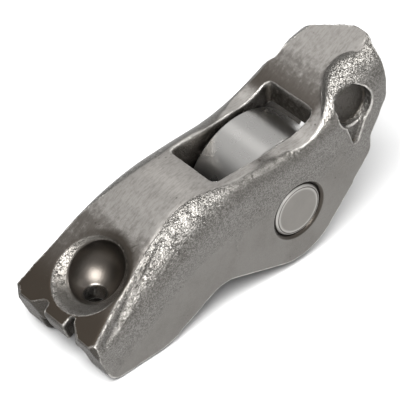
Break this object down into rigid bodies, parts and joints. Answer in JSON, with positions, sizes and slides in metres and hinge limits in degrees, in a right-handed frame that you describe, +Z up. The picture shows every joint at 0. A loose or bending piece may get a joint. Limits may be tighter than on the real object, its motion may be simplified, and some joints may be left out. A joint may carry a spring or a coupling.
{
  "type": "rocker arm",
  "caption": "Stamped steel roller finger follower with a ball socket, a valve pad and a cam roller on loose needles.",
  "frame": {"origin": "on the axle line at mid width, which is the centre of the cam roller", "axes": "+X towards the valve pad, +Y along the axle, +Z up on the side of the ball socket and the valve pad"},
  "size_m": [0.0476, 0.0154, 0.0249],
  "materials": {
    "lever_steel": "tumbled, case-hardened deep-drawn sheet with a fine orange-peel grain on the bends",
    "axle_steel": "ground axle with turned heads",
    "roller_steel": "finely ground bearing steel",
    "needle_steel": "lapped bearing steel"
  },
  "bodies": {
    "lever": {"lever_body": "lever_steel", "axle_pin": "axle_steel"},
    "roller": {"roller": "roller_steel"},
    "needle_row": {"needle_01": "needle_steel"},
    "needle_02": {"needle_02": "needle_steel"},
    "needle_03": {"needle_03": "needle_steel"},
    "needle_04": {"needle_04": "needle_steel"},
    "needle_05": {"needle_05": "needle_steel"},
    "needle_06": {"needle_06": "needle_steel"},
    "needle_07": {"needle_07": "needle_steel"},
    "needle_08": {"needle_08": "needle_steel"},
    "needle_09": {"needle_09": "needle_steel"},
    "needle_10": {"needle_10": "needle_steel"},
    "needle_11": {"needle_11": "needle_steel"},
    "needle_12": {"needle_12": "needle_steel"},
    "needle_13": {"needle_13": "needle_steel"},
    "needle_14": {"needle_14": "needle_steel"},
    "needle_15": {"needle_15": "needle_steel"},
    "needle_16": {"needle_16": "needle_steel"},
    "needle_17": {"needle_17": "needle_steel"}
  },
  "joints": [
    {"name": "roller_spin", "type": "hinge", "parent": "lever", "child": "roller", "pos_m": [0, 0, 0], "axis": [0, 1, 0], "continuous": true},
    {"name": "needle_row_orbit", "type": "hinge", "parent": "lever", "child": "needle_row", "pos_m": [0, 0, 0], "axis": [0, 1, 0], "continuous": true},
    {"name": "needle_02_spin", "type": "hinge", "parent": "needle_row", "child": "needle_02", "pos_m": [0.00418, 0, 0.00162], "axis": [0, 1, 0], "continuous": true},
    {"name": "needle_03_spin", "type": "hinge", "parent": "needle_row", "child": "needle_03", "pos_m": [0.00331, 0, 0.00302], "axis": [0, 1, 0], "continuous": true},
    {"name": "needle_04_spin", "type": "hinge", "parent": "needle_row", "child": "needle_04", "pos_m": [0.002, 0, 0.00401], "axis": [0, 1, 0], "continuous": true},
    {"name": "needle_05_spin", "type": "hinge", "parent": "needle_row", "child": "needle_05", "pos_m": [0.00041, 0, 0.00446], "axis": [0, 1, 0], "continuous": true},
    {"name": "needle_06_spin", "type": "hinge", "parent": "needle_row", "child": "needle_06", "pos_m": [-0.00123, 0, 0.00431], "axis": [0, 1, 0], "continuous": true},
    {"name": "needle_07_spin", "type": "hinge", "parent": "needle_row", "child": "needle_07", "pos_m": [-0.0027, 0, 0.00357], "axis": [0, 1, 0], "continuous": true},
    {"name": "needle_08_spin", "type": "hinge", "parent": "needle_row", "child": "needle_08", "pos_m": [-0.00381, 0, 0.00236], "axis": [0, 1, 0], "continuous": true},
    {"name": "needle_09_spin", "type": "hinge", "parent": "needle_row", "child": "needle_09", "pos_m": [-0.0044, 0, 0.00082], "axis": [0, 1, 0], "continuous": true},
    {"name": "needle_10_spin", "type": "hinge", "parent": "needle_row", "child": "needle_10", "pos_m": [-0.0044, 0, -0.00082], "axis": [0, 1, 0], "continuous": true},
    {"name": "needle_11_spin", "type": "hinge", "parent": "needle_row", "child": "needle_11", "pos_m": [-0.00381, 0, -0.00236], "axis": [0, 1, 0], "continuous": true},
    {"name": "needle_12_spin", "type": "hinge", "parent": "needle_row", "child": "needle_12", "pos_m": [-0.0027, 0, -0.00357], "axis": [0, 1, 0], "continuous": true},
    {"name": "needle_13_spin", "type": "hinge", "parent": "needle_row", "child": "needle_13", "pos_m": [-0.00123, 0, -0.00431], "axis": [0, 1, 0], "continuous": true},
    {"name": "needle_14_spin", "type": "hinge", "parent": "needle_row", "child": "needle_14", "pos_m": [0.00041, 0, -0.00446], "axis": [0, 1, 0], "continuous": true},
    {"name": "needle_15_spin", "type": "hinge", "parent": "needle_row", "child": "needle_15", "pos_m": [0.002, 0, -0.00401], "axis": [0, 1, 0], "continuous": true},
    {"name": "needle_16_spin", "type": "hinge", "parent": "needle_row", "child": "needle_16", "pos_m": [0.00331, 0, -0.00302], "axis": [0, 1, 0], "continuous": true},
    {"name": "needle_17_spin", "type": "hinge", "parent": "needle_row", "child": "needle_17", "pos_m": [0.00418, 0, -0.00162], "axis": [0, 1, 0], "continuous": true}
  ],
  "couplings": [
    {"joint": "needle_row_orbit", "follows": "roller_spin", "ratio": 0.59243},
    {"joint": "needle_02_spin", "follows": "roller_spin", "ratio": 2.6714},
    {"joint": "needle_03_spin", "follows": "roller_spin", "ratio": 2.6714},
    {"joint": "needle_04_spin", "follows": "roller_spin", "ratio": 2.6714},
    {"joint": "needle_05_spin", "follows": "roller_spin", "ratio": 2.6714},
    {"joint": "needle_06_spin", "follows": "roller_spin", "ratio": 2.6714},
    {"joint": "needle_07_spin", "follows": "roller_spin", "ratio": 2.6714},
    {"joint": "needle_08_spin", "follows": "roller_spin", "ratio": 2.6714},
    {"joint": "needle_09_spin", "follows": "roller_spin", "ratio": 2.6714},
    {"joint": "needle_10_spin", "follows": "roller_spin", "ratio": 2.6714},
    {"joint": "needle_11_spin", "follows": "roller_spin", "ratio": 2.6714},
    {"joint": "needle_12_spin", "follows": "roller_spin", "ratio": 2.6714},
    {"joint": "needle_13_spin", "follows": "roller_spin", "ratio": 2.6714},
    {"joint": "needle_14_spin", "follows": "roller_spin", "ratio": 2.6714},
    {"joint": "needle_15_spin", "follows": "roller_spin", "ratio": 2.6714},
    {"joint": "needle_16_spin", "follows": "roller_spin", "ratio": 2.6714},
    {"joint": "needle_17_spin", "follows": "roller_spin", "ratio": 2.6714}
  ]
}
